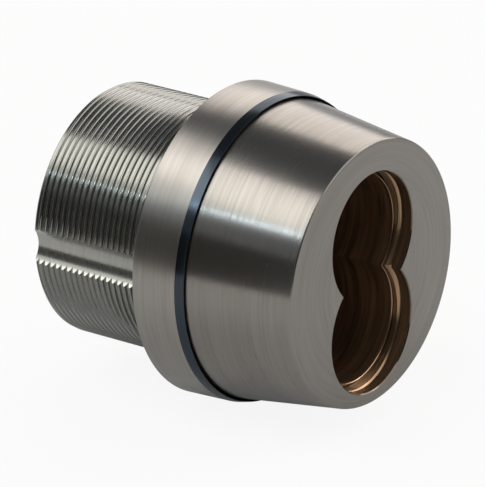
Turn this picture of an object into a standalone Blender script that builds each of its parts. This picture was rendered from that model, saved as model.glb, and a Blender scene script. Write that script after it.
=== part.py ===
"""Mortise cylinder housing for an interchangeable core, with its trim collar and cam.

Metres. The barrel's axis is Y: the front face looks along -Y and the threaded barrel runs back along +Y.
+X is right seen from the front and +Z is up. The origin is on the barrel's axis, in the plane of the
collar's rear face, which is where the door's surface lies.

Every turned piece is drawn in the bench frame of the lathe: local Z is the barrel's axis and points to
the front, so a height of h there is y = -h in the part's own frame.
"""
import math

import bmesh
import bpy

# Barrel, 1 5/32 inch thread with 32 turns to the inch: wide flat crests and V-shaped valleys
thread_radius = 0.01465
thread_pitch = 0.0254 / 32
thread_valley = 0.00050
thread_depth = 0.00043
barrel_length = 0.01685
barrel_end_chamfer = 0.0005
relief_width = 0.0012
relief_depth = 0.0006

# Grooves for the lock case's set screw, one on each side
groove_radius = 0.0026
groove_depth = 0.0012
groove_below_level = math.radians(2)

# Head
head_overhang = 0.0026
head_length = 0.01985
head_taper = 0.0018
face_edge_radius = 0.00025

# Figure-eight pocket for the core
lobe_radius = 0.00715
wall_under_lobe = 0.0013
wall_over_lobe = 0.0035
mouth_ledge = 0.00045
mouth_stretch = 0.00025
mouth_depth = 0.0023
rear_wall = 0.0030
floor_lip = 0.00135
lug_recess_radius = 0.0052
lug_recess_reach = 0.0016
lug_recess_width = 0.0038
lug_recess_depth = 0.0122

# Trim collar
collar_rear_wall = 0.00055
collar_front_wall = 0.00033
collar_length = 0.0068
collar_bevel_length = 0.0011
collar_lip_land = 0.00006
head_proud = 0.00005
collar_flange = 0.0015
collar_edge_chamfer = 0.0001

# Wave spring between the collar and the head
spring_room = 0.0020
spring_thickness = 0.00035
spring_waves = 3

# Core driver, its two pins and the cam
driver_flange = 0.0012
driver_hub_stand = 0.0001
pin_radius = 0.0010
pin_circle = 0.0030
pin_seat = 0.0026
pin_stand = 0.0056
cam_thickness = 0.0024
cam_hub_overhang = 0.00035
cam_tail_inset = 0.0012
cam_tail_root = 0.0047
cam_tail_half_width = 0.0038
screw_edge = 0.0016
screw_web = 0.0008
screw_radius = 0.0009
screw_head_radius = 0.0016
screw_head_rim = 0.0002
screw_grip = 0.0024
slot_width = 0.0005
slot_depth = 0.0005
slot_turn = math.radians(25)

# Gaps between separate pieces
clearance = 0.0003
small_clearance = 0.0002

# Fineness of the round faces
large_steps = 96
thread_steps = 34
pocket_steps = 72
small_steps = 28

# Sizes and places that follow from those above
overshoot = 0.002
head_base_radius = thread_radius + head_overhang
head_base_end = collar_length + head_proud
face_radius = head_base_radius - head_taper
lip_bore = head_base_radius + clearance
shoulder_height = collar_flange + spring_room
pocket_z = (wall_under_lobe - wall_over_lobe) / 2
lobe_offset = thread_radius - lobe_radius - (wall_under_lobe + wall_over_lobe) / 2
plug_z = pocket_z + lobe_offset
floor_height = rear_wall - barrel_length
driver_flange_radius = lobe_radius - clearance
driver_hub_radius = lobe_radius - floor_lip - clearance
cam_hub_radius = driver_flange_radius + cam_hub_overhang
screw_circle = driver_hub_radius - screw_edge
spigot_radius = screw_circle - screw_head_radius - screw_web


def clear_scene():
    for thing in list(bpy.data.objects):
        bpy.data.objects.remove(thing)


def collection(name):
    group = bpy.data.collections.new(name)
    bpy.context.scene.collection.children.link(group)
    return group


def material(name, color, roughness, metallic=1.0):
    made = bpy.data.materials.new(name)
    made.use_nodes = True
    shader = made.node_tree.nodes["Principled BSDF"]
    shader.inputs["Base Color"].default_value = (*color, 1.0)
    shader.inputs["Roughness"].default_value = roughness
    shader.inputs["Metallic"].default_value = metallic
    return made


def empty(name, parent=None, location=(0, 0, 0), rotation=(0, 0, 0)):
    holder = bpy.data.objects.new(name, None)
    holder.parent = parent
    holder.location = location
    holder.rotation_euler = rotation
    parts.objects.link(holder)
    return holder


def place(name, mesh, parent, group, finish=None, location=(0, 0, 0), rotation=(0, 0, 0)):
    """One object in the bench frame of its parent."""
    thing = bpy.data.objects.new(name, mesh)
    thing.parent = parent
    thing.location = location
    thing.rotation_euler = rotation
    group.objects.link(thing)
    if finish:
        mesh.materials.append(finish)
    return thing


def cutter(name, mesh, parent, location=(0, 0, 0), rotation=(0, 0, 0)):
    tool = place(name, mesh, parent, cutters, None, location, rotation)
    tool.hide_render = True
    tool.display_type = "WIRE"
    return tool


def combine(thing, tool, operation):
    change = thing.modifiers.new(tool.name, "BOOLEAN")
    change.operation = operation
    change.object = tool
    change.solver = "EXACT"


def cut(thing, tool):
    combine(thing, tool, "DIFFERENCE")


def smooth(mesh):
    mesh.shade_smooth()
    mesh.set_sharp_from_angle(angle=math.radians(30))


def disc_mesh(name, radius, height, steps):
    """A cylinder standing on z = 0."""
    mesh = bpy.data.meshes.new(name)
    shape = bmesh.new()
    made = bmesh.ops.create_cone(
        shape,
        cap_ends=True,
        segments=steps,
        radius1=radius,
        radius2=radius,
        depth=height,
    )
    bmesh.ops.translate(shape, verts=made["verts"], vec=(0, 0, height / 2))
    shape.to_mesh(mesh)
    shape.free()
    smooth(mesh)
    return mesh


def box_mesh(name, width, depth, height):
    """A block standing on z = 0."""
    mesh = bpy.data.meshes.new(name)
    shape = bmesh.new()
    made = bmesh.ops.create_cube(shape, size=1)
    bmesh.ops.scale(shape, verts=made["verts"], vec=(width, depth, height))
    bmesh.ops.translate(shape, verts=made["verts"], vec=(0, 0, height / 2))
    shape.to_mesh(mesh)
    shape.free()
    return mesh


def outline_mesh(name, outline, ring=False):
    """The outline to be turned, as (radius, height) down its outer side; a ring's outline closes."""
    mesh = bpy.data.meshes.new(name)
    points = [(radius, 0, height) for radius, height in outline]
    edges = [(i, i + 1) for i in range(len(points) - 1)]
    if ring:
        edges.append((len(points) - 1, 0))
    mesh.from_pydata(points, edges, [])
    return mesh


def turn(thing, steps):
    """Turn the outline round the piece's own Z."""
    lathe = thing.modifiers.new("lathe", "SCREW")
    lathe.axis = "Z"
    lathe.angle = math.tau
    lathe.steps = steps
    lathe.render_steps = steps
    lathe.use_merge_vertices = True
    lathe.merge_threshold = 0.00001
    lathe.use_smooth_shade = True


def turned(name, outline, parent, finish, steps, ring=False):
    """A turned piece."""
    thing = place(name, outline_mesh(name, outline, ring), parent, parts, finish)
    turn(thing, steps)
    return thing


def thread_mesh(name, bottom, top):
    """A rod with a right-handed thread, longer than the barrel at both ends and closed there."""
    profile = [
        (thread_radius, 0),
        (thread_radius, thread_pitch - thread_valley),
        (thread_radius - thread_depth, thread_pitch - thread_valley / 2),
    ]
    mesh = bpy.data.meshes.new(name)
    shape = bmesh.new()
    turns = math.ceil((top - bottom) / thread_pitch)
    verts = [
        shape.verts.new((radius, 0, bottom + i * thread_pitch + height))
        for i in range(turns)
        for radius, height in profile
    ]
    edges = [shape.edges.new(pair) for pair in zip(verts, verts[1:])]
    bmesh.ops.spin(
        shape,
        geom=verts + edges,
        cent=(0, 0, 0),
        dvec=(0, 0, thread_pitch / thread_steps),
        axis=(0, 0, 1),
        angle=math.tau,
        steps=thread_steps,
    )
    bmesh.ops.remove_doubles(shape, verts=shape.verts, dist=0.00001)
    open_edges = [edge for edge in shape.edges if edge.is_boundary]
    grown = bmesh.ops.extrude_edge_only(shape, edges=open_edges)["geom"]
    rims = [part for part in grown if isinstance(part, bmesh.types.BMVert)]
    low = [vert for vert in rims if vert.co.z < (bottom + top) / 2]
    high = [vert for vert in rims if vert.co.z > (bottom + top) / 2]
    bmesh.ops.pointmerge(shape, verts=low, merge_co=(0, 0, bottom))
    bmesh.ops.pointmerge(shape, verts=high, merge_co=(0, 0, top))
    bmesh.ops.recalc_face_normals(shape, faces=shape.faces)
    shape.to_mesh(mesh)
    shape.free()
    smooth(mesh)
    return mesh


def corner_arc(center, radius, start, end, count):
    """Points of a rounded corner in the outline's plane."""
    return [
        (
            center[0] + radius * math.cos(start + (end - start) * i / count),
            center[1] + radius * math.sin(start + (end - start) * i / count),
        )
        for i in range(count + 1)
    ]


def cut_figure_eight(name, thing, radius, offset, bottom, top):
    """Cut both lobes of the pocket out of a piece, between two heights."""
    for side, up in (("upper", pocket_z + offset), ("lower", pocket_z - offset)):
        mesh = disc_mesh(name + " " + side, radius, top - bottom, pocket_steps)
        cut(thing, cutter(name + " " + side, mesh, axis, (0, up, bottom)))


def build_housing():
    """Head and threaded barrel in one piece, less the relief, the grooves, the pocket and the hole."""
    slope = math.atan2(head_base_radius - face_radius, head_length - head_base_end)
    edge = face_edge_radius
    edge_center = (face_radius - edge * math.tan(math.pi / 4 - slope / 2), head_length - edge)
    rear = -barrel_length
    relief_bottom = shoulder_height - relief_width
    relief_radius = thread_radius - relief_depth
    stock_end = shoulder_height - relief_width / 2
    outline = [(0, head_length)]
    outline += corner_arc(edge_center, edge, math.pi / 2, slope, 4)
    outline += [(head_base_radius, head_base_end), (head_base_radius, stock_end), (0, stock_end)]
    housing = turned("housing", outline, axis, satin_nickel, large_steps)
    rod = thread_mesh("barrel thread", rear - overshoot, head_base_end)
    combine(housing, cutter("barrel thread", rod, axis), "UNION")

    past_head = head_base_radius + overshoot
    past_thread = relief_depth + overshoot
    outline = [
        (relief_radius, shoulder_height),
        (past_head, shoulder_height),
        (past_head, relief_bottom - past_thread),
        (relief_radius + past_thread, relief_bottom - past_thread),
        (relief_radius, relief_bottom),
    ]
    relief = cutter("thread relief", outline_mesh("thread relief", outline, ring=True), axis)
    turn(relief, large_steps)
    cut(housing, relief)
    outline = [
        (0, rear),
        (thread_radius - barrel_end_chamfer, rear),
        (thread_radius + overshoot, rear + barrel_end_chamfer + overshoot),
        (thread_radius + overshoot, rear - 2 * overshoot),
        (0, rear - 2 * overshoot),
    ]
    facing = cutter("rear face", outline_mesh("rear face", outline), axis)
    turn(facing, large_steps)
    cut(housing, facing)

    groove_length = barrel_length + relief_bottom + overshoot
    groove_reach = thread_radius - groove_depth + groove_radius
    for side, direction in (("left", math.pi + groove_below_level), ("right", -groove_below_level)):
        spot = (
            groove_reach * math.cos(direction),
            groove_reach * math.sin(direction),
            rear - overshoot,
        )
        mesh = disc_mesh("set screw groove " + side, groove_radius, groove_length, small_steps)
        cut(housing, cutter("set screw groove " + side, mesh, axis, spot))

    mouth_floor = head_length - mouth_depth
    cut_figure_eight(
        "core mouth",
        housing,
        lobe_radius + mouth_ledge,
        lobe_offset + mouth_stretch,
        mouth_floor,
        head_length + overshoot,
    )
    cut_figure_eight("core pocket", housing, lobe_radius, lobe_offset, floor_height, mouth_floor + overshoot)

    hole = disc_mesh("driver hole", driver_hub_radius + clearance, rear_wall + 2 * overshoot, pocket_steps)
    cut(housing, cutter("driver hole", hole, axis, (0, plug_z, rear - overshoot)))

    recess = disc_mesh("lug recess", lug_recess_radius, lug_recess_width, pocket_steps)
    recess_x = lobe_radius + lug_recess_reach - lug_recess_radius
    recess_bottom = head_length - lug_recess_depth - lug_recess_width
    cut(housing, cutter("lug recess", recess, axis, (recess_x, pocket_z, recess_bottom)))
    return housing


def build_collar():
    """Trim collar: a rear flange that bears on the door, a wall round the head and a bevelled lip."""
    barrel_bore = thread_radius + clearance
    rear_radius = lip_bore + collar_rear_wall
    chamfer = collar_edge_chamfer
    outline = [
        (lip_bore, collar_length),
        (lip_bore + collar_lip_land, collar_length),
        (lip_bore + collar_front_wall, collar_length - collar_bevel_length),
        (rear_radius, chamfer),
        (rear_radius - chamfer, 0),
        (barrel_bore, 0),
        (barrel_bore, collar_flange),
        (lip_bore, collar_flange),
    ]
    return turned("trim_collar", outline, axis, satin_nickel, large_steps, ring=True)


def build_spring():
    """Wave spring: a flat ring whose height rises and falls evenly round its turn."""
    inner = thread_radius + clearance
    outer = head_base_radius - clearance
    middle = collar_flange + spring_room / 2
    swing = (spring_room - spring_thickness) / 2 - clearance
    half = spring_thickness / 2
    mesh = bpy.data.meshes.new("collar_wave_spring")
    shape = bmesh.new()
    corners = [(outer, half), (outer, -half), (inner, -half), (inner, half)]
    verts = [shape.verts.new((radius, 0, height)) for radius, height in corners]
    edges = [shape.edges.new((verts[i - 1], verts[i])) for i in range(4)]
    bmesh.ops.spin(
        shape,
        geom=verts + edges,
        cent=(0, 0, 0),
        axis=(0, 0, 1),
        angle=math.tau,
        steps=large_steps,
        use_merge=True,
        use_duplicate=False,
    )
    bmesh.ops.remove_doubles(shape, verts=shape.verts, dist=0.00001)
    bmesh.ops.recalc_face_normals(shape, faces=shape.faces)
    for vert in shape.verts:
        bearing = math.atan2(vert.co.y, vert.co.x)
        vert.co.z += middle + swing * math.sin(spring_waves * bearing)
    shape.to_mesh(mesh)
    shape.free()
    smooth(mesh)
    return place("collar_wave_spring", mesh, axis, parts, spring_steel)


def build_driver():
    """Driver: its flange lies on the upper lobe's floor, the hub fills the hole, a spigot centres the cam."""
    flange_bottom = floor_height + clearance
    flange_top = flange_bottom + driver_flange
    hub_bottom = -(barrel_length + driver_hub_stand)
    spigot_bottom = hub_bottom - clearance - cam_thickness
    outline = [
        (0, flange_top),
        (driver_flange_radius, flange_top),
        (driver_flange_radius, flange_bottom),
        (driver_hub_radius, flange_bottom),
        (driver_hub_radius, hub_bottom),
        (spigot_radius, hub_bottom),
        (spigot_radius, spigot_bottom),
        (0, spigot_bottom),
    ]
    driver = turned("core_driver", outline, plug_axis, bare_brass, pocket_steps)
    hole_radius = pin_radius + small_clearance
    for side, height in (("upper", pin_circle), ("lower", -pin_circle)):
        hole = disc_mesh("pin hole " + side, hole_radius, pin_seat + overshoot, small_steps)
        cut(driver, cutter("pin hole " + side, hole, plug_axis, (0, height, flange_top - pin_seat)))
    thread_hole = screw_radius + small_clearance
    depth = screw_grip + small_clearance
    for side, across in (("left", -screw_circle), ("right", screw_circle)):
        hole = disc_mesh("screw hole " + side, thread_hole, depth + overshoot, small_steps)
        spot = (across, 0, hub_bottom - overshoot)
        cut(driver, cutter("screw hole " + side, hole, plug_axis, spot))
    return driver


def build_pins():
    """Two steel pins with chamfered tips, set in the driver's flange."""
    seat = floor_height + clearance + driver_flange - pin_seat + small_clearance
    tip = seat + pin_seat + pin_stand
    chamfer = pin_radius / 3
    outline = [
        (0, tip),
        (pin_radius - chamfer, tip),
        (pin_radius, tip - chamfer),
        (pin_radius, seat),
        (0, seat),
    ]
    for side, height in (("upper", pin_circle), ("lower", -pin_circle)):
        pin = turned("throw_pin_" + side, outline, plug_axis, hardened_steel, small_steps)
        pin.location = (0, height, 0)


def cam_outline():
    """The cam's edge: round the hub, down a tail whose sides close in a little, and across its curved tip."""
    reach = thread_radius + plug_z - cam_tail_inset
    tip_half_angle = math.asin(cam_tail_half_width / reach)
    hub_half_angle = math.asin(cam_tail_root / cam_hub_radius)
    down = -math.pi / 2
    points = corner_arc((0, 0), cam_hub_radius, down + hub_half_angle, down + math.tau - hub_half_angle, 40)
    points += corner_arc((0, 0), reach, down - tip_half_angle, down + tip_half_angle, 12)
    return points


def build_cam():
    """Cam: a flat plate with a central hole for the spigot and two countersunk screw holes."""
    flat = bpy.data.curves.new("cam outline", "CURVE")
    flat.dimensions = "2D"
    flat.fill_mode = "BOTH"
    flat.extrude = cam_thickness / 2
    points = cam_outline()
    edge = flat.splines.new("POLY")
    edge.points.add(len(points) - 1)
    for point, (across, up) in zip(edge.points, points):
        point.co = (across, up, 0, 1)
    edge.use_cyclic_u = True
    drawn = bpy.data.objects.new("cam outline", flat)
    parts.objects.link(drawn)
    graph = bpy.context.evaluated_depsgraph_get()
    mesh = bpy.data.meshes.new_from_object(drawn.evaluated_get(graph))
    bpy.data.objects.remove(drawn)
    shape = bmesh.new()
    shape.from_mesh(mesh)
    bmesh.ops.remove_doubles(shape, verts=shape.verts, dist=0.00001)
    shape.to_mesh(mesh)
    shape.free()
    mesh.name = "cam"
    smooth(mesh)

    cam_top = -(barrel_length + driver_hub_stand + clearance)
    cam_bottom = cam_top - cam_thickness
    cam = place("cam", mesh, plug_axis, parts, cam_steel, (0, 0, cam_top - cam_thickness / 2))
    through = cam_thickness + 2 * overshoot
    center = disc_mesh("spigot hole", spigot_radius + small_clearance, through, small_steps)
    cut(cam, cutter("spigot hole", center, plug_axis, (0, 0, cam_bottom - overshoot)))
    hole_radius = screw_radius + small_clearance
    sink_radius = screw_head_radius + screw_head_rim + small_clearance
    outline = [
        (0, cam_top + overshoot),
        (hole_radius, cam_top + overshoot),
        (hole_radius, cam_bottom + sink_radius - hole_radius),
        (sink_radius + overshoot, cam_bottom - overshoot),
        (0, cam_bottom - overshoot),
    ]
    for side, across in (("left", -screw_circle), ("right", screw_circle)):
        name = "countersunk hole " + side
        hole = cutter(name, outline_mesh(name, outline), plug_axis, (across, 0, 0))
        turn(hole, small_steps)
        cut(cam, hole)
    return cam


def build_screws():
    """Countersunk screws, heads flush with the cam's rear and slotted."""
    rear = -(barrel_length + driver_hub_stand + clearance + cam_thickness)
    tip = -(barrel_length + driver_hub_stand) + screw_grip
    cone = screw_head_radius - screw_radius
    outline = [
        (0, tip),
        (screw_radius, tip),
        (screw_radius, rear + screw_head_rim + cone),
        (screw_head_radius, rear + screw_head_rim),
        (screw_head_radius, rear),
        (0, rear),
    ]
    for side, across in (("left", -screw_circle), ("right", screw_circle)):
        screw = turned("cam_screw_" + side, outline, plug_axis, hardened_steel, small_steps)
        screw.location = (across, 0, 0)
        slot_length = 2 * (screw_head_radius + overshoot)
        slot = box_mesh("screw slot " + side, slot_length, slot_width, slot_depth + overshoot)
        spot = (across, 0, rear - overshoot)
        cut(screw, cutter("screw slot " + side, slot, plug_axis, spot, (0, 0, slot_turn)))


clear_scene()
parts = collection("mortise cylinder")
cutters = collection("cutters")

satin_nickel = material("satin nickel", (0.55, 0.53, 0.50), 0.32)
bare_brass = material("bare brass", (0.45, 0.34, 0.22), 0.35)
spring_steel = material("spring steel", (0.40, 0.40, 0.41), 0.35)
hardened_steel = material("hardened steel", (0.50, 0.50, 0.52), 0.30)
cam_steel = material("cam steel", (0.58, 0.56, 0.52), 0.40)

axis = empty("barrel axis", rotation=(math.pi / 2, 0, 0))
plug_axis = empty("plug axis", parent=axis, location=(0, plug_z, 0))

build_housing()
build_collar()
build_spring()
build_driver()
build_pins()
build_cam()
build_screws()
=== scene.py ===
# %% [markdown]
# # A mortise cylinder, dressed for the camera
#
# A mortise cylinder is the round lock body that screws into the edge of a door's lock case. This one is
# an empty housing: its figure-eight pocket waits for a core. The solids come from the CAD file, and this
# script builds the same pieces again with the detail that a camera sees: a finer thread with rounded
# crests, small chamfers, brushed plate outside and bare turned metal inside.
#
# Everything is in metres, in the CAD file's own frame. The barrel's axis is Y, the front face looks along
# -Y, and Z is up.

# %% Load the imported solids
import math

import bpy
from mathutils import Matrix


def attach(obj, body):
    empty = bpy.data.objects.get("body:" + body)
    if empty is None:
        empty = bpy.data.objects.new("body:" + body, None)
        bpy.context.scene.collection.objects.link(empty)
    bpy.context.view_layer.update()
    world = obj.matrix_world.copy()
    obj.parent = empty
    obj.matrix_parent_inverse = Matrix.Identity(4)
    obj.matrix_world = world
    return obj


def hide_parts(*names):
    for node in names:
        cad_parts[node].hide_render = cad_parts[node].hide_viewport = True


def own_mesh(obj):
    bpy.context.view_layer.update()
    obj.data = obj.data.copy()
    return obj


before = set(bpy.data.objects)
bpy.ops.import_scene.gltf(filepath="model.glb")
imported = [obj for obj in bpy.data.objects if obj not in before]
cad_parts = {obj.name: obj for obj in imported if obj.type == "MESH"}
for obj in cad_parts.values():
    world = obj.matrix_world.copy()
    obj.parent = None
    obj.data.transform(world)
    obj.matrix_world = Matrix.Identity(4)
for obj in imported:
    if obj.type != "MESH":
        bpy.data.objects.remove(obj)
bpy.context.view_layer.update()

# %% [markdown]
# ## Sizes
#
# These are the same sizes as in the CAD file, in millimetres, because a drawing of a lock part is read in
# millimetres. The helper functions turn them into metres. The barrel's thread is 1 5/32 inch with 32
# threads per inch, the usual thread of a mortise cylinder, so one pitch is 25.4 / 32 millimetres. Corners
# closer than WELD, two thousandths of a millimetre, are one corner.

# %% Sizes in millimetres
MM = 0.001
WELD = 0.000002
thread_crest = 14.65
thread_pitch = 25.4 / 32
thread_crest_round = 0.14
thread_half_angle = math.radians(30)
barrel_rear = 16.85
relief_radius = 14.05
shoulder = -3.5
head_base_radius = 17.25
head_base_end = -6.85
face_radius = 15.45
face = -19.85
lobe_radius = 7.15
upper_lobe = 4.0
lower_lobe = -6.2
pocket_floor = 13.85
mouth_radius = 7.6
mouth_shift = 0.25
mouth_floor = -17.55
hub_radius = 5.5
plug = (0.0, 4.0)
pin_offset = 3.0
screw_offset = 3.9
screw_hole = 1.1
fine_steps = 192
print("One pitch is", round(thread_pitch, 4), "mm")

# %% [markdown]
# ## The camera
#
# The camera stands where the photographer stood: to the front left and about 20 degrees above the
# cylinder's axis. Its place and its long lens were worked out from the round edges in the photograph, as
# every circle there is an ellipse whose tilt and flatness tell the direction. The target is the middle of
# the barrel's rear end, moved sideways to keep the whole part in the frame.

# %% Camera
from mathutils import Matrix, Vector

azimuth, elevation, roll = (math.radians(angle) for angle in (-53.5425, 20.4281, 0.197))
distance, shift_right, shift_down = 683.516, 15.031, 4.328
photo_width, focal_length = 485, 5963.5
back = Vector(
    (
        math.sin(azimuth) * math.cos(elevation),
        -math.cos(azimuth) * math.cos(elevation),
        math.sin(elevation),
    )
)
level = (-back).cross(Vector((0, 0, 1))).normalized()
upright = level.cross(-back)
across = level * math.cos(roll) + upright * math.sin(roll)
above = upright * math.cos(roll) - level * math.sin(roll)

camera = bpy.data.objects.new("camera", bpy.data.cameras.new("camera"))
bpy.context.scene.collection.objects.link(camera)
target = Vector((0, barrel_rear, 0))
camera.location = (back * distance + across * shift_right - above * shift_down + target) * MM
camera.rotation_euler = Matrix((across, above, back)).transposed().to_euler()
camera.data.sensor_fit = "HORIZONTAL"
camera.data.sensor_width = 36
camera.data.lens = camera.data.sensor_width * focal_length / photo_width
camera.data.clip_start = 0.05
camera.data.clip_end = 20
bpy.context.scene.camera = camera
print("Lens:", round(camera.data.lens), "mm")

# %% [markdown]
# ## Studio
#
# Bright metal shows its surroundings more than its own colour, so the studio is part of the finish. The
# photograph shows two pale bands that run along the barrel and the head, with a dark band between them
# and another one low on the left, and a thin bluish line along the left one. So there is a wide soft box
# overhead on the left with a brighter one just below it, which stands aslant as the band's edge does, a
# wide warm box on the right, one in front for the sides of the thread, and a narrow bluish strip like the
# gap of a window. The room is dim and the floor pale. Two dark cards, low on the left and round the
# camera, keep the floor and the room out of the dark bands, the way a product photographer works. They
# are seen in reflections only.

# %% Directions round the object
def direction(degrees_round, degrees_up):
    """A unit vector. Degrees round count from the front, -Y, towards +X."""
    a, e = math.radians(degrees_round), math.radians(degrees_up)
    return Vector((math.sin(a) * math.cos(e), -math.cos(a) * math.cos(e), math.sin(e)))


def facing(point):
    """The turn that makes an object's -Z look from the point to the origin."""
    return (-point).to_track_quat("-Z", "Y").to_euler()


# %% Soft boxes
def soft_box(name, place, lean, width, length, color, brightness):
    """A rectangle of light. How bright it looks in a mirror doesn't depend on its size."""
    light = bpy.data.lights.new(name, "AREA")
    light.shape = "RECTANGLE"
    light.size, light.size_y = width, length
    light.color = color
    light.energy = brightness * math.pi * width * length
    box = bpy.data.objects.new(name, light)
    bpy.context.scene.collection.objects.link(box)
    box.location = place
    box.rotation_euler = lean
    print(name, "gives", round(light.energy, 1), "W")


room_radius = 1.6
right = direction(97, 37.5) * room_radius
front = direction(24, 34) * room_radius
window = direction(-86, 39.5) * room_radius
straight, aslant = (0, 0, 0), (0, 0, math.radians(-35))
soft_box("overhead soft box", (-0.97, 0.75, 1.2), straight, 1.25, 3.2, (1.0, 0.985, 0.94), 1.05)
soft_box("middle of the overhead box", (-0.56, 0.75, 1.19), aslant, 0.8, 3.0, (1.0, 0.975, 0.94), 2.3)
soft_box("right soft box", right, facing(right), 2.35, 1.15, (1.0, 0.93, 0.88), 2.2)
soft_box("front soft box", front, facing(front), 1.9, 1.2, (1.0, 0.95, 0.91), 1.5)
soft_box("window", window, facing(window), 1.6, 0.035, (0.62, 0.85, 1.0), 13)

# %% A dim room
world = bpy.data.worlds.new("room")
world.use_nodes = True
nodes, links = world.node_tree.nodes, world.node_tree.links
where = nodes.new("ShaderNodeTexCoord")
parts = nodes.new("ShaderNodeSeparateXYZ")
walls = nodes.new("ShaderNodeValToRGB")
low_wall, high_wall = walls.color_ramp.elements
low_wall.position, low_wall.color = 0.1, (0.46, 0.48, 0.5, 1)
high_wall.position, high_wall.color = 0.75, (0.14, 0.15, 0.16, 1)
links.new(where.outputs["Generated"], parts.inputs[0])
links.new(parts.outputs["Z"], walls.inputs["Fac"])
links.new(walls.outputs["Color"], nodes["Background"].inputs["Color"])
bpy.context.scene.world = world
bpy.context.scene.view_settings.view_transform = "Standard"
print("World:", world.name)

# %% Pale floor, nearly white to the camera and duller in the metal
floor_height = -18.15
bpy.ops.object.select_all(action="DESELECT")
bpy.ops.mesh.primitive_plane_add(size=8, location=(0, 0, floor_height * MM))
floor = bpy.context.object
floor.name = "floor"

floor_paint = bpy.data.materials.new("floor")
floor_paint.use_nodes = True
nodes, links = floor_paint.node_tree.nodes, floor_paint.node_tree.links
nodes.clear()
ends = nodes.new("ShaderNodeOutputMaterial")
paint = nodes.new("ShaderNodeBsdfDiffuse")
paint.inputs["Color"].default_value = (0.62, 0.62, 0.62, 1)
white = nodes.new("ShaderNodeEmission")
white.inputs["Strength"].default_value = 1.0
share = nodes.new("ShaderNodeMixShader")
ray = nodes.new("ShaderNodeLightPath")
white_to_camera, white_in_metal = 0.9, 0.1
by_camera = nodes.new("ShaderNodeMath")
by_camera.operation = "MULTIPLY"
by_camera.inputs[1].default_value = white_to_camera
mirrored = nodes.new("ShaderNodeMath")
mirrored.operation = "MAXIMUM"
in_metal = nodes.new("ShaderNodeMath")
in_metal.operation = "MULTIPLY_ADD"
in_metal.inputs[1].default_value = white_in_metal
links.new(ray.outputs["Is Camera Ray"], by_camera.inputs[0])
links.new(ray.outputs["Is Glossy Ray"], mirrored.inputs[0])
links.new(ray.outputs["Is Transmission Ray"], mirrored.inputs[1])
links.new(mirrored.outputs[0], in_metal.inputs[0])
links.new(by_camera.outputs[0], in_metal.inputs[2])
links.new(in_metal.outputs[0], share.inputs["Fac"])
links.new(paint.outputs[0], share.inputs[1])
links.new(white.outputs[0], share.inputs[2])
links.new(share.outputs[0], ends.inputs["Surface"])
floor.data.materials.append(floor_paint)
print("Floor at", floor_height, "mm")

# %% Dark cards, low on the left and round the camera
black = bpy.data.materials.new("dark card")
black.use_nodes = True
felt = black.node_tree.nodes["Principled BSDF"]
felt.inputs["Base Color"].default_value = (0.05, 0.05, 0.045, 1)
felt.inputs["Roughness"].default_value = 0.9
for name, spot, wide, high in (
    ("left card", direction(-115, 4) * 0.13, 0.18, 0.085),
    ("camera card", direction(-40, 21) * 0.16, 0.19, 0.17),
):
    bpy.ops.object.select_all(action="DESELECT")
    bpy.ops.mesh.primitive_plane_add(size=1, location=spot, rotation=facing(spot))
    card = bpy.context.object
    card.name = name
    card.scale = (wide, high, 1)
    card.visible_camera = card.visible_shadow = card.visible_diffuse = False
    card.data.materials.append(black)
    print("Stage:", name)

# %% [markdown]
# ## Turned metal
#
# Every round piece of this lock was cut on a lathe, and then the outside was brushed while it turned. Both
# leave marks that run round the axis: along the barrel they vary with Y, and on the flat face they vary
# with the radius. So one pattern serves all of them: noise that is stretched out round the axis and fine
# along Y plus a share of the radius. It is a node group, because every finish uses it with its own scale.

# %% Node group: turning marks
def new_group(name, wanted, given):
    """A shader node group with its sockets. Each wanted one is (label, kind, value)."""
    group = bpy.data.node_groups.new(name, "ShaderNodeTree")
    for label, kind, value in wanted:
        socket = group.interface.new_socket(label, in_out="INPUT", socket_type=kind)
        if value is not None:
            socket.default_value = value
    for label, kind in given:
        group.interface.new_socket(label, in_out="OUTPUT", socket_type=kind)
    return group, group.nodes.new("NodeGroupInput"), group.nodes.new("NodeGroupOutput")


def math_node(nodes, links, how, first, second=None):
    """A Math node of two numbers or sockets."""
    node = nodes.new("ShaderNodeMath")
    node.operation = how
    for socket, value in zip(node.inputs, (first, second)):
        if isinstance(value, (int, float)):
            socket.default_value = value
        elif value is not None:
            links.new(value, socket)
    return node.outputs[0]


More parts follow.
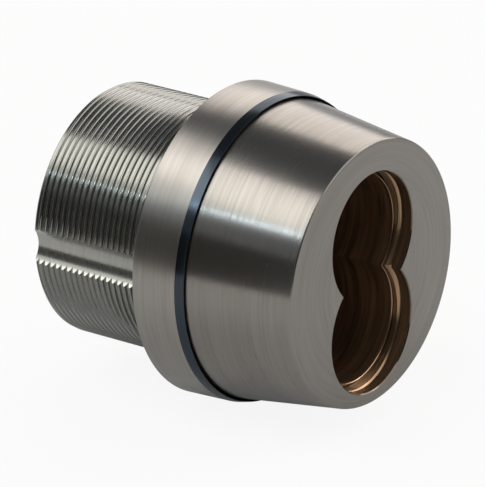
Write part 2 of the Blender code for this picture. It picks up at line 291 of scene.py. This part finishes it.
def turning_marks():
    """Marks from 0 to 1 that run round the Y axis.

    Per Metre is how many cross a metre of the surface, Wander is how soon they change on the way round,
    and Radius Share is how much the radius counts beside Y.
    """
    group, taken, given = new_group(
        "turning marks",
        [
            ("Place", "NodeSocketVector", None),
            ("Per Metre", "NodeSocketFloat", 2000.0),
            ("Wander", "NodeSocketFloat", 60.0),
            ("Radius Share", "NodeSocketFloat", 1.37),
        ],
        [("Marks", "NodeSocketFloat"), ("Broad", "NodeSocketFloat")],
    )
    nodes, links = group.nodes, group.links
    split = nodes.new("ShaderNodeSeparateXYZ")
    links.new(taken.outputs["Place"], split.inputs[0])
    x, y, z = (split.outputs[axis] for axis in "XYZ")
    x_square = math_node(nodes, links, "MULTIPLY", x, x)
    z_square = math_node(nodes, links, "MULTIPLY", z, z)
    radius = math_node(nodes, links, "SQRT", math_node(nodes, links, "ADD", x_square, z_square))
    outward = math_node(nodes, links, "MULTIPLY", radius, taken.outputs["Radius Share"])
    along = math_node(nodes, links, "ADD", y, outward)
    for label, times, offset in (("Marks", 1.0, 0.0), ("Broad", 0.16, 40.0)):
        rate = math_node(nodes, links, "MULTIPLY", taken.outputs["Per Metre"], times)
        joined = nodes.new("ShaderNodeCombineXYZ")
        links.new(math_node(nodes, links, "MULTIPLY", x, taken.outputs["Wander"]), joined.inputs[0])
        links.new(math_node(nodes, links, "MULTIPLY", z, taken.outputs["Wander"]), joined.inputs[2])
        lines = math_node(nodes, links, "MULTIPLY", along, rate)
        links.new(math_node(nodes, links, "ADD", lines, offset), joined.inputs[1])
        noise = nodes.new("ShaderNodeTexNoise")
        noise.inputs["Scale"].default_value = 1.0
        noise.inputs["Detail"].default_value = 3.0
        noise.inputs["Roughness"].default_value = 0.6
        links.new(joined.outputs[0], noise.inputs["Vector"])
        links.new(noise.outputs["Fac"], given.inputs[label])
    return group


marks_group = turning_marks()
print("Node group:", marks_group.name)

# %% [markdown]
# ## Finishes
#
# A metal's Base Color is the share of light that it mirrors. This plate looks like a middle warm grey over
# a white floor, so about a quarter is mirrored. Brushing blurs the reflection across the marks and
# hardly along them: that is Anisotropic, with a Tangent that runs round the Y axis. The marks change the
# colour a little, change the roughness a little and press a very shallow relief into the surface.
#
# The housing carries six materials. Its head is brushed plate. The thread's crests are polished and dark,
# and its valleys are painted paler: painted light that stands in for brightness, because light reaches the
# eye from there only after two reflections and loses some at each. The grooves are milled, the pocket is
# bare brass gone brown, and the ledge in its mouth is smoother and painted darker, as painted shade of the
# mouth's recess. The pocket's Metallic is 0.9, as tarnish scatters a little light, and its marks leave the
# radius out, because each lobe has an axis of its own. The collar is brushed a little paler, and its lip
# is painted nearly black and bluish: painted shade with a painted bluish reflection. The driver's marks
# run round its own axis. The cam's plate was rolled and not turned, so its marks have a center so far
# away that they look straight.

# %% Turned finish
def turned_finish(name, light_color, dark_color, per_metre, roughness, anisotropic, relief,
                  center=(0.0, 0.0), metallic=1.0, radius_share=1.37):
    """A metal with turning marks round an axis at (x, z) in millimetres. Relief is from 0 to 1."""
    made = bpy.data.materials.new(name)
    made.use_nodes = True
    nodes, links = made.node_tree.nodes, made.node_tree.links
    shader = nodes["Principled BSDF"]
    shader.inputs["Metallic"].default_value = metallic
    shader.inputs["Anisotropic"].default_value = anisotropic
    shader.inputs["Anisotropic Rotation"].default_value = 0.25
    place = nodes.new("ShaderNodeTexCoord")
    centered = nodes.new("ShaderNodeMapping")
    centered.inputs["Location"].default_value = (-center[0] * MM, 0, -center[1] * MM)
    links.new(place.outputs["Object"], centered.inputs["Vector"])
    marks = nodes.new("ShaderNodeGroup")
    marks.node_tree = marks_group
    marks.inputs["Per Metre"].default_value = per_metre
    marks.inputs["Radius Share"].default_value = radius_share
    links.new(centered.outputs["Vector"], marks.inputs["Place"])
    fine = math_node(nodes, links, "MULTIPLY", marks.outputs["Marks"], 0.6)
    broad = math_node(nodes, links, "MULTIPLY", marks.outputs["Broad"], 0.4)
    both = math_node(nodes, links, "ADD", fine, broad)

    tones = nodes.new("ShaderNodeValToRGB")
    dark_end, light_end = tones.color_ramp.elements
    dark_end.position, dark_end.color = 0.35, (*dark_color, 1)
    light_end.position, light_end.color = 0.65, (*light_color, 1)
    links.new(both, tones.inputs["Fac"])
    links.new(tones.outputs["Color"], shader.inputs["Base Color"])

    gloss = nodes.new("ShaderNodeMapRange")
    gloss.inputs["From Min"].default_value = 0.3
    gloss.inputs["From Max"].default_value = 0.7
    gloss.inputs["To Min"].default_value = roughness * 1.15
    gloss.inputs["To Max"].default_value = roughness * 0.85
    links.new(both, gloss.inputs["Value"])
    links.new(gloss.outputs["Result"], shader.inputs["Roughness"])

    if anisotropic:
        brush = nodes.new("ShaderNodeTangent")
        brush.direction_type = "RADIAL"
        brush.axis = "Y"
        links.new(brush.outputs["Tangent"], shader.inputs["Tangent"])
    if relief:
        bump = nodes.new("ShaderNodeBump")
        bump.inputs["Strength"].default_value = relief
        bump.inputs["Distance"].default_value = 0.00002
        links.new(marks.outputs["Marks"], bump.inputs["Height"])
        links.new(bump.outputs["Normal"], shader.inputs["Normal"])
    print("Finish:", name)
    return made


# %% Finishes of this lock
brushed_plate = turned_finish("brushed plate", (0.265, 0.25, 0.231), (0.218, 0.205, 0.188), 3200, 0.25, 0.8,
                              0.25)
collar_plate = turned_finish("collar plate", (0.32, 0.302, 0.28), (0.265, 0.25, 0.23), 3200, 0.33, 0.7, 0.25)
thread_plate = turned_finish("thread plate", (0.24, 0.24, 0.225), (0.21, 0.21, 0.197), 9000, 0.075, 0.0, 0.0)
# The valleys' material is a paler copy of the thread's plate: painted light that stands in for the light the
# valleys lose in two reflections.
valley_painted_light = turned_finish("valley painted light", (0.48, 0.485, 0.46), (0.44, 0.445, 0.42), 9000, 0.15, 0.0, 0.0)
groove_plate = turned_finish("groove plate", (0.37, 0.37, 0.345), (0.32, 0.32, 0.295), 3200, 0.26, 0.0, 0.2)
# The lip's material is painted nearly black with a bluish tint: painted shade with a painted bluish
# reflection.
lip_painted_shade = turned_finish("lip painted shade", (0.05, 0.062, 0.076), (0.042, 0.052, 0.064), 3200, 0.2, 0.5, 0.2)
bore_brass = turned_finish("bore brass", (0.68, 0.44, 0.26), (0.13, 0.085, 0.05), 1600, 0.24, 0.4, 0.7,
                           metallic=0.9, radius_share=0.0)
# The ledge's material is darker than the plate: painted shade of the mouth's recess, on a smoother metal.
ledge_painted_shade = turned_finish("ledge painted shade", (0.17, 0.145, 0.115), (0.125, 0.105, 0.082), 2500, 0.12, 0.0, 0.1)
spring_strip = turned_finish("spring strip", (0.24, 0.24, 0.245), (0.16, 0.16, 0.165), 1200, 0.35, 0.3, 0.1)
driver_brass = turned_finish("driver brass", (0.36, 0.25, 0.12), (0.24, 0.16, 0.075), 2600, 0.3, 0.5, 0.3,
                             center=plug)
cam_plate = turned_finish("cam plate", (0.25, 0.243, 0.228), (0.21, 0.203, 0.19), 3000, 0.42, 0.0, 0.1,
                          center=(0, -200))
pin_steel = turned_finish("pin steel", (0.30, 0.30, 0.31), (0.24, 0.24, 0.25), 6000, 0.24, 0.0, 0.1)

# %% [markdown]
# ## Working at the bench
#
# The pieces are modelled as on a lathe. A small plane is merged into one point, the point is extruded
# along the half section, and the outline is spun round the axis. Holes and pockets are cut afterwards
# with cutters of the tool's shape, as a drill or an end mill would.

# %% Draw and spin an outline
def draw_outline(name, points):
    """A line of edges through the points. Each point is (radius, y) in millimetres."""
    bpy.ops.object.select_all(action="DESELECT")
    bpy.ops.mesh.primitive_plane_add(size=MM, location=(0, 0, 0))
    piece = bpy.context.object
    piece.name = piece.data.name = name
    bpy.ops.object.mode_set(mode="EDIT")
    bpy.ops.mesh.select_mode(type="VERT")
    bpy.ops.mesh.select_all(action="SELECT")
    bpy.ops.mesh.merge(type="CENTER")
    bpy.ops.transform.translate(value=(points[0][0] * MM, points[0][1] * MM, 0))
    for before, after in zip(points, points[1:]):
        step = ((after[0] - before[0]) * MM, (after[1] - before[1]) * MM, 0)
        bpy.ops.mesh.extrude_vertices_move(TRANSFORM_OT_translate={"value": step})
    return piece


def close_shape():
    """In edit mode: weld what touches and turn all faces outwards."""
    bpy.ops.mesh.select_all(action="SELECT")
    bpy.ops.mesh.remove_doubles(threshold=WELD)
    bpy.ops.mesh.normals_make_consistent(inside=False)
    bpy.ops.object.mode_set(mode="OBJECT")


def turn(name, points, steps, center=(0.0, 0.0), ring=False):
    """Spin an outline round the barrel's axis, then move the piece to its own axis at (x, z)."""
    piece = draw_outline(name, points + points[:1] if ring else points)
    bpy.ops.mesh.select_all(action="SELECT")
    bpy.ops.mesh.spin(steps=steps, angle=math.tau, center=(0, 0, 0), axis=(0, 1, 0))
    bpy.ops.mesh.select_all(action="SELECT")
    bpy.ops.transform.translate(value=(center[0] * MM, 0, center[1] * MM))
    close_shape()
    return piece


# %% Round the corners of an outline
def eased(points, segments=3):
    """Points of (radius, y, rounding). Each corner with a rounding becomes a short arc."""
    line = []
    for i, point in enumerate(points):
        ease = point[2] if len(point) > 2 else 0
        here = Vector(point[:2])
        if not ease:
            line.append(tuple(here))
            continue
        to_last = (Vector(points[i - 1][:2]) - here).normalized()
        to_next = (Vector(points[(i + 1) % len(points)][:2]) - here).normalized()
        half = to_last.angle(to_next) / 2
        middle = here + (to_last + to_next).normalized() * ease / math.sin(half)
        start = (here + to_last * ease / math.tan(half) - middle).normalized()
        end = (here + to_next * ease / math.tan(half) - middle).normalized()
        for k in range(segments + 1):
            line.append(tuple(middle + start.slerp(end, k / segments) * ease))
    return line


# %% Cut, join and finish
def select_only(*pieces):
    """Select these pieces and nothing else, and make the last one active."""
    bpy.ops.object.select_all(action="DESELECT")
    for piece in pieces:
        piece.select_set(True)
    bpy.context.view_layer.objects.active = pieces[-1]


def combine(piece, tool, how):
    """Cut the tool out of the piece, or add it, and throw the tool away."""
    select_only(piece)
    bpy.ops.object.modifier_add(type="BOOLEAN")
    change = piece.modifiers[-1]
    change.object = tool
    change.operation = how
    change.solver = "EXACT"
    bpy.ops.object.modifier_apply(modifier=change.name)
    bpy.data.objects.remove(tool)


def hand_over(piece, body, node, smooth_below=32):
    """Shade a finished piece, let it stand for its CAD node and let it ride on its body."""
    select_only(piece)
    bpy.ops.object.mode_set(mode="EDIT")
    bpy.ops.mesh.select_all(action="SELECT")
    bpy.ops.mesh.remove_doubles(threshold=WELD / 2)
    bpy.ops.object.mode_set(mode="OBJECT")
    bpy.ops.object.shade_smooth_by_angle(angle=math.radians(smooth_below))
    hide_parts(node)
    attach(piece, body)
    triangles = sum(len(side.vertices) - 2 for side in piece.data.polygons)
    print(piece.name, "has", triangles, "triangles")


def finish_faces(piece, *finishes, use=0):
    """Give a piece its finishes, and put the one at place use in the list on all faces."""
    piece.data.materials.clear()
    for finish in finishes:
        piece.data.materials.append(finish)
    for side in piece.data.polygons:
        side.material_index = use


# %% [markdown]
# ## The thread
#
# The barrel's thread has V-shaped valleys of 60 degrees and small rounded crests. Only one pitch of it is
# drawn, from one crest to the next, and a Screw modifier carries it along the barrel. That gives one clean
# surface, where a stack of separate rings would not be a thread. Its open ends are closed beyond the
# barrel.

# %% One pitch, carried along the axis
def screw_thread(name, one_pitch, pitch, first, last, steps):
    """A closed threaded rod between two places on the Y axis. Each point of the pitch is (radius, along)."""
    rod = draw_outline(name, [(radius, first + along) for radius, along in one_pitch])
    bpy.ops.object.mode_set(mode="OBJECT")
    bpy.ops.object.modifier_add(type="SCREW")
    winding = rod.modifiers[-1]
    winding.axis = "Y"
    winding.angle = math.tau
    winding.screw_offset = pitch * MM
    winding.iterations = round((last - first) / pitch)
    winding.steps = winding.render_steps = steps
    winding.use_merge_vertices = True
    winding.merge_threshold = WELD
    bpy.ops.object.modifier_apply(modifier=winding.name)
    bpy.ops.object.mode_set(mode="EDIT")
    bpy.ops.mesh.select_all(action="SELECT")
    bpy.ops.mesh.remove_doubles(threshold=WELD)
    bpy.ops.mesh.select_mode(type="EDGE")
    bpy.ops.mesh.select_all(action="DESELECT")
    bpy.ops.mesh.select_non_manifold(
        extend=False,
        use_wire=False,
        use_boundary=True,
        use_multi_face=False,
        use_non_contiguous=False,
        use_verts=False,
    )
    bpy.ops.mesh.extrude_edges_move(TRANSFORM_OT_translate={"value": (0, 0, 0)})
    bpy.ops.mesh.merge(type="COLLAPSE")
    bpy.ops.mesh.select_mode(type="VERT")
    close_shape()
    return rod


# %% Thread of the barrel
valley_half = 0.03
crest_half = thread_crest_round * math.sin(math.radians(60))
flank_top = thread_crest - thread_crest_round / 2
flank_width = thread_pitch / 2 - crest_half - valley_half


def flank_point(share):
    """Radius and distance from the crest's middle, a share of the way down the flank."""
    return flank_top - share * flank_width / math.tan(thread_half_angle), crest_half + share * flank_width


barrel_pitch = [flank_point(share) for share in (0, 0.3, 1)]
barrel_pitch += [(radius, thread_pitch - aside) for radius, aside in map(flank_point, (1, 0.3))]
for tilt in (-60, -36, -12, 12, 36, 60):
    lean = math.radians(tilt)
    radius = thread_crest - thread_crest_round * (1 - math.cos(lean))
    barrel_pitch.append((radius, thread_pitch + thread_crest_round * math.sin(lean)))
thread_turns = 32
thread_rear = 18.703
thread_front = thread_rear - thread_turns * thread_pitch
rod = screw_thread("thread rod", barrel_pitch, thread_pitch, thread_front, thread_rear, 144)
print("The thread has", len(rod.data.polygons), "faces and starts at", round(thread_front, 2), "mm")

# %% [markdown]
# ## The head and the barrel
#
# The head is a plain cone with a small rounded edge at its face. The threaded rod is joined to it, and then
# the lathe's tools follow: one turns the relief behind the shoulder, where the thread runs out, and one
# faces the rear end and breaks its edge. The tools cut through the thread, so its last turns thin out as
# they do on the real barrel.

# %% Head, thread, relief and rear face
housing = turn(
    "housing_body",
    eased(
        [
            (0, face),
            (face_radius, face, 0.25),
            (head_base_radius, head_base_end, 0.12),
            (head_base_radius, shoulder + 0.6),
            (0, shoulder + 0.6),
        ],
        4,
    ),
    fine_steps,
)
housing_finishes = (brushed_plate, bore_brass, ledge_painted_shade, thread_plate, valley_painted_light, groove_plate)
PLATE, BORE, LEDGE_PAINTED_SHADE, CREST, VALLEY_PAINTED_LIGHT, GROOVE = range(len(housing_finishes))
finish_faces(housing, *housing_finishes, use=PLATE)
finish_faces(rod, *housing_finishes, use=CREST)
# Thread faces below this radius get the valleys' painted light, the paler copy of the crest plate.
valley_radius = thread_crest - 0.22
for side in rod.data.polygons:
    if side.center.xz.length < valley_radius * MM:
        side.material_index = VALLEY_PAINTED_LIGHT
combine(housing, rod, "UNION")
relief = turn(
    "relief tool",
    eased(
        [
            (relief_radius, shoulder, 0.1),
            (head_base_radius - 0.1, shoulder),
            (head_base_radius + 1, shoulder - 1.1),
            (head_base_radius + 1, 0.1),
            (relief_radius + 2.4, 0.1),
            (relief_radius, -2.3),
        ]
    ),
    fine_steps,
    ring=True,
)
facing_tool = turn(
    "facing tool",
    [
        (0, barrel_rear),
        (thread_crest - 0.5, barrel_rear),
        (thread_crest + 1.5, barrel_rear - 2.0),
        (thread_crest + 1.5, barrel_rear + 4),
        (0, barrel_rear + 4),
    ],
    fine_steps,
)
for tool in (relief, facing_tool):
    finish_faces(tool, *housing_finishes, use=PLATE)
    combine(housing, tool, "DIFFERENCE")
print("Bar:", len(housing.data.polygons), "faces")

# %% [markdown]
# ## The set screw grooves
#
# The lock case's set screw holds the barrel in one of two grooves, one on each side. They are cut through
# the thread and leave the saw-tooth edge that the photograph shows.

# %% Set screw grooves
groove_radius, groove_depth, groove_front = 2.6, 1.2, -2.2
for name, lean in (("left groove", 182), ("right groove", -2)):
    reach = thread_crest - groove_depth + groove_radius
    groove = turn(
        name,
        [
            (0, groove_front),
            (groove_radius, groove_front),
            (groove_radius, barrel_rear + 2),
            (0, barrel_rear + 2),
        ],
        64,
        center=(reach * math.cos(math.radians(lean)), reach * math.sin(math.radians(lean))),
    )
    finish_faces(groove, *housing_finishes, use=GROOVE)
    combine(housing, groove, "DIFFERENCE")
print("Grooves:", groove_depth, "mm deep")

# %% [markdown]
# ## The pocket
#
# The figure-eight pocket is two round lobes milled into each other, with a slightly wider mouth in front.
# Each lobe is cut with its own tool. The tools carry the bare metal's finish, so that the surfaces they
# leave are bare metal at once, because a Boolean gives each new face the finish of its cutter.

# %% Cutters for the pocket
def lobe_cutter(name, outline, height, sideways=0.0):
    """A cutter that leaves bare brass, on an axis at this height."""
    tool = turn(name, outline, 96, center=(sideways, height))
    finish_faces(tool, *housing_finishes, use=BORE)
    return tool


rim, ledge_rim = 0.1, 0.06
figure_eight = []
for where, height in (("upper", upper_lobe), ("lower", lower_lobe)):
    mouth = lobe_cutter(
        where + " mouth",
        [
            (0, face - 1),
            (mouth_radius + rim + 1, face - 1),
            (mouth_radius, face + rim),
            (mouth_radius, mouth_floor),
            (0, mouth_floor),
        ],
        height + math.copysign(mouth_shift, height),
    )
    # Faces that look along the axis, the ledge and the mouth's chamfered rim, get the ledge's painted shade.
    for side in mouth.data.polygons:
        if abs(side.normal.y) > 0.6:
            side.material_index = LEDGE_PAINTED_SHADE
    pocket = lobe_cutter(
        where + " lobe",
        [
            (0, mouth_floor - 1),
            (lobe_radius + ledge_rim + 1, mouth_floor - 1),
            (lobe_radius, mouth_floor + ledge_rim),
            (lobe_radius, pocket_floor),
            (0, pocket_floor),
        ],
        height,
    )
    figure_eight += [mouth, pocket]
print("Cutters:", ", ".join(tool.name for tool in figure_eight))

# %% Cut mouth, lobes, lug recess and the driver's hole
upper_mouth, upper_pocket, lower_mouth, lower_pocket = figure_eight
combine(upper_mouth, lower_mouth, "UNION")
combine(housing, upper_mouth, "DIFFERENCE")
combine(upper_pocket, lower_pocket, "UNION")
combine(housing, upper_pocket, "DIFFERENCE")

recess_radius, recess_depth, recess_height = 5.2, 1.6, -1.1
recess_front, recess_rear = -7.65, -3.85
recess = lobe_cutter(
    "lug recess",
    [(0, recess_front), (recess_radius, recess_front), (recess_radius, recess_rear), (0, recess_rear)],
    recess_height,
    lobe_radius + recess_depth - recess_radius,
)
combine(housing, recess, "DIFFERENCE")

hub_hole = hub_radius + 0.3
hole = lobe_cutter(
    "driver hole",
    [
        (0, pocket_floor - 1),
        (hub_hole, pocket_floor - 1),
        (hub_hole, barrel_rear - 0.15),
        (hub_hole + 0.15, barrel_rear),
        (hub_hole + 0.15, barrel_rear + 1),
        (0, barrel_rear + 1),
    ],
    plug[1],
)
combine(housing, hole, "DIFFERENCE")
print("Pocket cut:", len(housing.data.polygons), "faces")

hand_over(housing, "housing", "housing")

# %% [markdown]
# ## The trim collar
#
# The collar is a loose ring that fills the space between the head and the door. A wave spring presses it
# back, so that one cylinder suits doors of different thickness. Its front edge has a wide bevel, the lip,
# and all its edges are broken so that they don't cut.

# %% Collar
collar_bore, spring_room, spring_room_rear = 14.95, 17.55, -1.5
lip_front, lip_rear = -6.8, -5.7
collar = turn(
    "collar_ring",
    eased(
        [
            (spring_room, lip_front, 0.02),
            (17.61, lip_front, 0.02),
            (17.88, lip_rear, 0.1),
            (18.1, -0.1, 0.05),
            (18.0, 0, 0.05),
            (collar_bore, 0, 0.1),
            (collar_bore, spring_room_rear, 0.1),
            (spring_room, spring_room_rear, 0.1),
        ]
    ),
    fine_steps,
    ring=True,
)
collar_finishes = (collar_plate, lip_painted_shade)
finish_faces(collar, *collar_finishes)
# Faces in front of the lip's rear edge get the lip's painted shade and painted bluish reflection.
for side in collar.data.polygons:
    if side.center.y < (lip_rear - 0.05) * MM:
        side.material_index = collar_finishes.index(lip_painted_shade)
hand_over(collar, "collar", "trim_collar")

# %% [markdown]
# ## The wave spring
#
# A wave spring is a flat ring of strip steel, bent up and down three times. Here a flat ring is spun, and
# a Displace modifier then moves each corner by a weight that follows a sine round the ring. When the
# collar is pushed in, the waves flatten against the head's shoulder.

# %% Spring
spring_swing = 0.525
spring_top = -2.5 + spring_swing
strip_half = 0.175
spring_inside, spring_outside = 14.95, 16.95
spring = turn(
    "spring_ring",
    eased(
        [
            (spring_outside, spring_top - strip_half, 0.05),
            (spring_outside, spring_top + strip_half, 0.05),
            (spring_inside, spring_top + strip_half, 0.05),
            (spring_inside, spring_top - strip_half, 0.05),
        ],
        2,
    ),
    144,
    ring=True,
)
waves = spring.vertex_groups.new(name="waves")
for corner in spring.data.vertices:
    round_the_ring = math.atan2(corner.co.z, corner.co.x)
    waves.add([corner.index], 0.5 + 0.5 * math.sin(3 * round_the_ring), "REPLACE")
bpy.ops.object.modifier_add(type="DISPLACE")
bend = spring.modifiers[-1]
bend.direction = "Y"
bend.vertex_group = "waves"
bend.mid_level = 0.0
bend.strength = -2 * spring_swing * MM
bpy.ops.object.modifier_apply(modifier=bend.name)
finish_faces(spring, spring_strip)
hand_over(spring, "housing", "collar_wave_spring")
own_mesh(spring)

# %% [markdown]
# ## The core driver
#
# The driver is what the core turns. Its flange lies on the floor of the upper lobe, its hub runs in the
# rear wall and its small spigot centres the cam. Two steel pins stand in it and reach into the core.

# %% Driver
flange_front, flange_rear, hub_rear, spigot_rear = 12.35, 13.55, 16.95, 19.65
flange_radius, spigot_radius = 6.85, 1.5
driver = turn(
    "driver_disc",
    eased(
        [
            (0, flange_front),
            (flange_radius, flange_front, 0.2),
            (flange_radius, flange_rear, 0.1),
            (hub_radius, flange_rear),
            (hub_radius, hub_rear, 0.12),
            (spigot_radius, hub_rear),
            (spigot_radius, spigot_rear, 0.12),
            (0, spigot_rear),
        ]
    ),
    128,
    center=plug,
)
finish_faces(driver, driver_brass)


def drill(piece, radius, first, last, center, steps=40):
    """A plain hole between two places on the Y axis."""
    bit = turn("drill", [(0, first), (radius, first), (radius, last), (0, last)], steps, center=center)
    finish_faces(bit, *piece.data.materials)
    combine(piece, bit, "DIFFERENCE")


for height in (plug[1] + pin_offset, plug[1] - pin_offset):
    drill(driver, 1.2, 11.0, 14.95, (0.0, height))
for side in (-screw_offset, screw_offset):
    drill(driver, screw_hole, 14.35, 18.0, (side, plug[1]))
hand_over(driver, "cam", "core_driver")

# %% Throw pins
pin_front, pin_rear, pin_radius = 6.55, 14.75, 1.0
for node, height in (("throw_pin_upper", plug[1] + pin_offset), ("throw_pin_lower", plug[1] - pin_offset)):
    pin = turn(
        node.replace("throw_pin", "steel_pin"),
        eased(
            [
                (0, pin_front),
                (0.667, pin_front, 0.2),
                (pin_radius, 6.883, 0.3),
                (pin_radius, pin_rear, 0.12),
                (0, pin_rear),
            ]
        ),
        48,
        center=(0.0, height),
    )
    finish_faces(pin, pin_steel)
    hand_over(pin, "cam", node)

# %% [markdown]
# ## The cam
#
# The cam is stamped from plate: a round hub with one tail that throws the lock. A box is narrowed into
# the tail, trimmed by a large disc to get its curved tip, and joined to a disc for the hub. Its edges are
# bevelled before the holes are cut, as tumbling rounds the edges of a stamping.

# %% Cam plate
cam_front, cam_rear = 17.25, 19.65
cam_reach, cam_hub_radius = 17.45, 7.2
tail_length, root_half, tip_half = 24, 5.51, 2.96
bpy.ops.object.select_all(action="DESELECT")
bpy.ops.mesh.primitive_cube_add(
    size=MM,
    location=(0, (cam_front + cam_rear) / 2 * MM, (plug[1] - tail_length / 2) * MM),
    scale=(1, cam_rear - cam_front, tail_length),
)
cam = bpy.context.object
cam.name = cam.data.name = "cam_plate"
bpy.ops.object.transform_apply(location=True, rotation=True, scale=True)
for corner in cam.data.vertices:
    low = corner.co.z < 0
    corner.co.x = math.copysign(tip_half if low else root_half, corner.co.x) * MM
    corner.co.z = (plug[1] - (tail_length if low else 0)) * MM
print("The tail narrows from", 2 * root_half, "to", 2 * tip_half, "mm over", tail_length, "mm")


def disc(name, radius, first, last, steps):
    """A plain disc on the plug's axis, between two places on the Y axis."""
    return turn(name, [(0, first), (radius, first), (radius, last), (0, last)], steps, center=plug)


combine(cam, disc("trim", cam_reach, cam_front - 1, cam_rear + 1, fine_steps), "INTERSECT")
combine(cam, disc("hub", cam_hub_radius, cam_front, cam_rear, 96), "UNION")

# %% Cam edges
bpy.ops.object.mode_set(mode="EDIT")
bpy.ops.mesh.select_all(action="SELECT")
bpy.ops.mesh.remove_doubles(threshold=WELD)
bpy.ops.mesh.dissolve_limited(angle_limit=math.radians(1))
bpy.ops.mesh.select_mode(type="EDGE")
bpy.ops.mesh.select_all(action="DESELECT")
bpy.ops.mesh.edges_select_sharp(sharpness=math.radians(60))
bpy.ops.mesh.bevel(offset=0.12 * MM, segments=3, profile=0.5)
bpy.ops.mesh.select_mode(type="VERT")
bpy.ops.object.mode_set(mode="OBJECT")
finish_faces(cam, cam_plate)
print("Cam:", len(cam.data.polygons), "faces")

# %% Cam holes
drill(cam, 1.7, cam_front - 1, cam_rear + 1, plug, 48)
for side in (-screw_offset, screw_offset):
    sink = turn(
        "countersink",
        [
            (0, cam_front - 1),
            (screw_hole, cam_front - 1),
            (screw_hole, cam_rear - 0.9),
            (screw_hole + 1.9, cam_rear + 1),
            (0, cam_rear + 1),
        ],
        48,
        center=(side, plug[1]),
    )
    finish_faces(sink, cam_plate)
    combine(cam, sink, "DIFFERENCE")
hand_over(cam, "cam", "cam", 40)

# %% [markdown]
# ## The cam screws
#
# Two countersunk screws hold the cam to the driver's hub. Their shanks carry a real thread, made by the
# same function as the barrel's, and are trimmed to a blunt tip. The slot is cut across the head, and then
# head and shank are joined as two closed shapes that overlap, because a Boolean union of them fails where
# the thread runs into the cone.

# %% Screws
screw_pitch, head_radius = 0.35, 1.6
root, crest = 0.72, 0.89
one_pitch = [(root, 0), (root, 0.03), (crest, 0.15), (crest, 0.2), (root, 0.32), (root, screw_pitch)]
for node, side in (("cam_screw_left", -screw_offset), ("cam_screw_right", screw_offset)):
    screw = screw_thread(node.replace("cam_screw", "plated_screw"), one_pitch, screw_pitch, 13.4, 19.0, 32)
    tip = turn("tip", [(0, 14.55), (0.7, 14.55), (0.92, 14.8), (0.92, 18.6), (0, 18.6)], 32)
    combine(screw, tip, "INTERSECT")
    screw_head = turn(
        "screw head",
        eased(
            [
                (0, 18.4),
                (0.65, 18.4),
                (0.9, 18.75),
                (head_radius, cam_rear - 0.2, 0.08),
                (head_radius, cam_rear, 0.06),
                (0, cam_rear),
            ]
        ),
        48,
    )
    bpy.ops.object.select_all(action="DESELECT")
    bpy.ops.mesh.primitive_cube_add(
        size=MM,
        location=(0, (cam_rear + 0.5) * MM, 0),
        rotation=(0, math.radians(-25), 0),
        scale=(5, 2, 0.5),
    )
    combine(screw_head, bpy.context.object, "DIFFERENCE")
    select_only(screw_head, screw)
    bpy.ops.object.join()
    bpy.ops.object.mode_set(mode="EDIT")
    bpy.ops.mesh.select_all(action="SELECT")
    bpy.ops.transform.translate(value=(side * MM, 0, plug[1] * MM))
    bpy.ops.object.mode_set(mode="OBJECT")
    plating = turned_finish(node.replace("_", " "), (0.22, 0.215, 0.205), (0.15, 0.147, 0.14), 4000, 0.33,
                            0.0, 0.2, center=(side, plug[1]))
    finish_faces(screw, plating)
    hand_over(screw, "cam", node)
